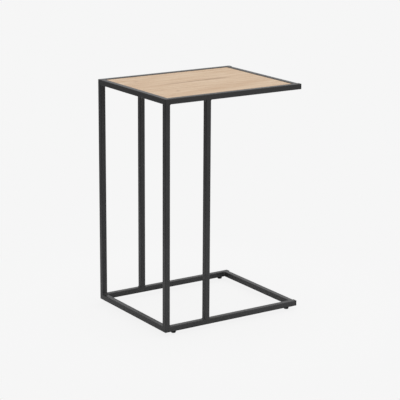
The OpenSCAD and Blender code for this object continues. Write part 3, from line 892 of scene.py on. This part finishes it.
def studio_floor_paint(settings):
    """Matt white floor. The camera sees the backdrop's colour on it, with a share of the real shadow."""
    material, put, place = new_material("studio_floor_paint")
    path = put("ShaderNodeLightPath").outputs
    distance = put("ShaderNodeVectorMath", place, operation="LENGTH")
    plain = put("ShaderNodeMapRange", {
        "Value": distance, "From Min": SHADOW_FULL, "From Max": SHADOW_GONE,
        "To Min": 1 - settings.shadow, "To Max": 1.0}, interpolation_type="SMOOTHSTEP")
    share = put("ShaderNodeMath", path["Is Camera Ray"], plain, operation="MULTIPLY")
    lifted = put("ShaderNodeMapRange", {"Value": plain, "To Min": FLOOR_LIFT, "To Max": 1.0})
    painted = put("ShaderNodeBsdfDiffuse", {"Color": FLOOR_PAINT})
    even = put("ShaderNodeEmission", {"Color": settings.backdrop, "Strength": lifted})
    upper = put("ShaderNodeMixShader", share, painted, even)
    # From below the camera sees through the floor
    below = put("ShaderNodeNewGeometry").outputs["Backfacing"]
    hidden = put("ShaderNodeMath", below, path["Is Camera Ray"], operation="MULTIPLY")
    clear = put("ShaderNodeBsdfTransparent")
    surface = put("ShaderNodeMixShader", hidden, upper, clear)
    put("ShaderNodeOutputMaterial", surface)
    return material


# How far the floor reaches: to the camera's left and right, toward the camera and away from it
FLOOR_LEFT, FLOOR_RIGHT, FLOOR_NEAR, FLOOR_FAR = 1.0, 3.0, 0.8, 4.0
# The floor lies just under a foot's full travel, so that it never hides a foot that is screwed out
FLOOR_LEVEL = -5.2 * MM


def add_floor(settings):
    """The floor, square to the camera."""
    right, _, back = camera_axes(settings)
    side = Vector((right.x, right.y, 0)).normalized()
    away = Vector((-back.x, -back.y, 0)).normalized()
    corners = [side * x + away * y + FLOOR_LEVEL * Z for x, y in (
        (-FLOOR_LEFT, -FLOOR_NEAR), (FLOOR_RIGHT, -FLOOR_NEAR),
        (FLOOR_RIGHT, FLOOR_FAR), (-FLOOR_LEFT, FLOOR_FAR))]
    mesh = bpy.data.meshes.new("studio_floor")
    mesh.from_pydata(corners, [], [(0, 1, 2, 3)])
    mesh.materials.append(studio_floor_paint(settings))
    floor = new_object("studio_floor", mesh)


# Light of the tent's bright and dark side, and from below as a share of that from above
TENT_BRIGHT, TENT_DARK, TENT_BELOW = 0.9, 0.45, 0.5


def add_world(settings):
    """A white tent round the table, darker behind the camera and to its left, and the plain backdrop."""
    world = bpy.data.worlds.new("studio_tent")
    bpy.context.scene.world = world
    world.use_nodes = True
    world.node_tree.nodes.clear()
    put = partial(add, world.node_tree)
    right, _, back = camera_axes(settings)
    direction = put("ShaderNodeTexCoord").outputs["Generated"]
    facing = put("ShaderNodeVectorMath", direction, (back - right).normalized(), operation="DOT_PRODUCT")
    side_level = put("ShaderNodeMapRange", {
        "Value": facing, "From Min": -0.5, "From Max": 0.7, "To Min": TENT_BRIGHT, "To Max": TENT_DARK},
        interpolation_type="SMOOTHSTEP")
    height = put("ShaderNodeSeparateXYZ", direction).outputs["Z"]
    above = put("ShaderNodeMapRange", {
        "Value": height, "From Min": -0.1, "From Max": 0.2, "To Min": TENT_BELOW, "To Max": 1.0},
        interpolation_type="SMOOTHSTEP")
    level = put("ShaderNodeMath", side_level, above, operation="MULTIPLY")
    light = put("ShaderNodeBackground", {"Color": linear("#FFFFFF"), "Strength": level})
    gloss = put("ShaderNodeBackground", {"Color": settings.backdrop, "Strength": level})
    backdrop = put("ShaderNodeBackground", {"Color": settings.backdrop, "Strength": 1.0})
    path = put("ShaderNodeLightPath").outputs
    seen = put("ShaderNodeMath", path["Is Camera Ray"], path["Is Transmission Ray"], operation="MAXIMUM")
    lit = put("ShaderNodeMixShader", path["Is Glossy Ray"], light, gloss)
    surface = put("ShaderNodeMixShader", seen, lit, backdrop)
    put("ShaderNodeOutputWorld", surface)


# The lamp's height above the frame's origin, its side, and its power in watts
LAMP_HEIGHT, LAMP_SIDE, LAMP_POWER = 2.4, 1.8, 14


def add_overhead_lamp():
    """A soft square lamp above the table, facing down. The camera doesn't see it."""
    data = bpy.data.lights.new("overhead_lamp", "AREA")
    data.shape = "SQUARE"
    data.size = LAMP_SIDE
    data.energy = LAMP_POWER
    lamp = new_object("overhead_lamp", data)
    lamp.location.z = LAMP_HEIGHT
    lamp.visible_camera = False


class SOFATABLE_OT_studio(bpy.types.Operator):
    """Sets up the floor, the light and the camera"""

    bl_idname = "sofa_table.studio"
    bl_label = "Studio"

    def execute(self, context):
        settings = context.scene.table_studio
        add_camera(settings)
        add_floor(settings)
        add_world(settings)
        add_overhead_lamp()
        context.scene.view_settings.view_transform = "Standard"
        return {"FINISHED"}


OPERATORS = (SOFATABLE_OT_frame, SOFATABLE_OT_welds, SOFATABLE_OT_panel, SOFATABLE_OT_screws,
             SOFATABLE_OT_feet, SOFATABLE_OT_studio)
SETTINGS = {"table_steel": SteelSettings, "table_panel": PanelSettings, "table_feet": FootSettings,
            "table_studio": StudioSettings}


class VIEW3D_PT_sofa_table(bpy.types.Panel):
    """Sizes, colours and build steps of the sofa table"""

    bl_label = "Sofa table"
    bl_idname = "VIEW3D_PT_sofa_table"
    bl_space_type = "VIEW_3D"
    bl_region_type = "UI"
    bl_category = "Sofa table"

    def draw(self, context):
        for operator in OPERATORS:
            self.layout.operator(operator.bl_idname)
        for name, group in SETTINGS.items():
            section = self.layout.box()
            section.label(text=group.__doc__)
            for label in group.__annotations__:
                section.prop(getattr(context.scene, name), label)


def register():
    for group in (*SETTINGS.values(), *OPERATORS, VIEW3D_PT_sofa_table):
        bpy.utils.register_class(group)
    for name, group in SETTINGS.items():
        setattr(bpy.types.Scene, name, bpy.props.PointerProperty(type=group))


def unregister():
    for name in SETTINGS:
        delattr(bpy.types.Scene, name)
    for group in (VIEW3D_PT_sofa_table, *OPERATORS, *SETTINGS.values()):
        bpy.utils.unregister_class(group)


def main():
    register()
    for step in ("frame", "welds", "panel", "screws", "feet", "studio"):
        getattr(bpy.ops.sofa_table, step)()


if __name__ == "__main__":
    main()
